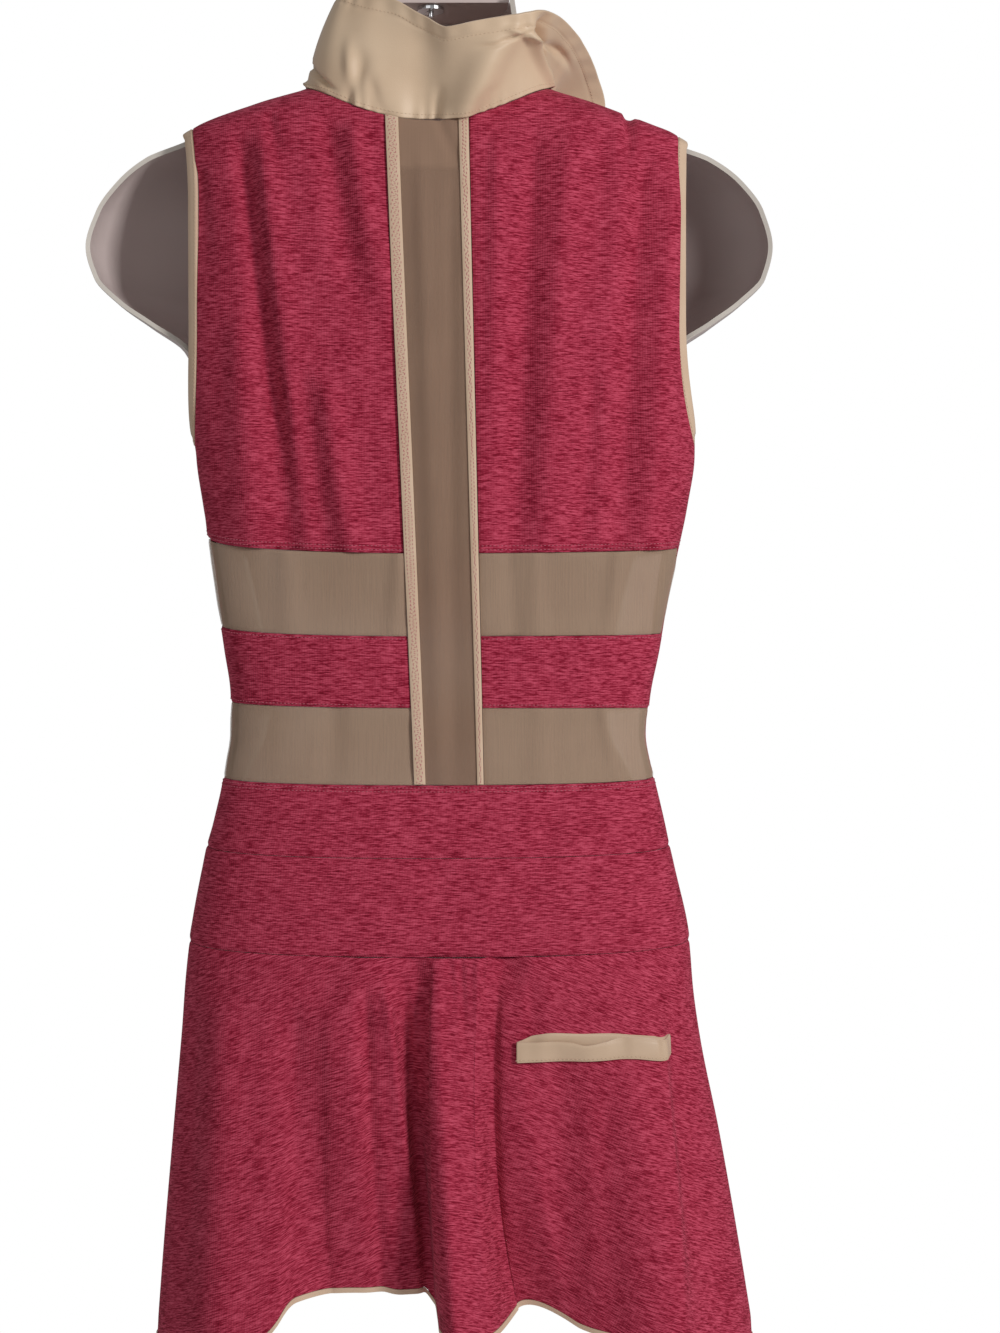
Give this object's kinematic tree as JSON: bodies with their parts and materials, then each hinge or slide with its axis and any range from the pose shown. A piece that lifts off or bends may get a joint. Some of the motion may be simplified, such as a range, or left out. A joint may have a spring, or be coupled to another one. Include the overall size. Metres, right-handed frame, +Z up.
{
  "type": "athletic dress on a hanging torso form",
  "caption": "Sleeveless collared athletic dress with mesh insets and a flared skirt, filled out by a hollow-back torso form on a hook.",
  "frame": {"origin": "inside top of the hook's bend, where it sits on a rail", "axes": "+Z up along the hanging axis, -Y towards the dress's back with its mesh strip, +X towards the pocket"},
  "size_m": [0.4662, 0.2419, 0.9872],
  "materials": {
    "heather": "matte heathered jersey",
    "mesh": "matte open knit",
    "satin": "soft sheen woven",
    "cream": "matte binding",
    "plastic": "translucent frosted",
    "steel": "polished"
  },
  "bodies": {
    "root": {"back_left": "heather", "back_right": "heather", "front_left": "heather", "front_right": "heather", "mesh_upper_left": "mesh", "mesh_upper_right": "mesh", "band_left": "heather", "band_right": "heather", "mesh_lower_left": "mesh", "mesh_lower_right": "mesh", "back_strip": "mesh", "tape_left": "cream", "tape_right": "cream", "yoke_upper_back": "heather", "yoke_upper_front": "heather", "yoke_lower_back": "heather", "yoke_lower_front": "heather", "skirt_back": "heather", "skirt_front": "heather", "hem_back": "cream", "hem_front": "cream", "pocket_welt": "satin", "pocket_facing": "satin", "armhole_binding_left": "cream", "armhole_binding_right": "cream", "collar": "satin", "form_shell": "plastic", "form_neck_plate": "plastic", "hook": "steel", "hook_washer": "steel", "hook_nut": "steel"}
  },
  "joints": []
}
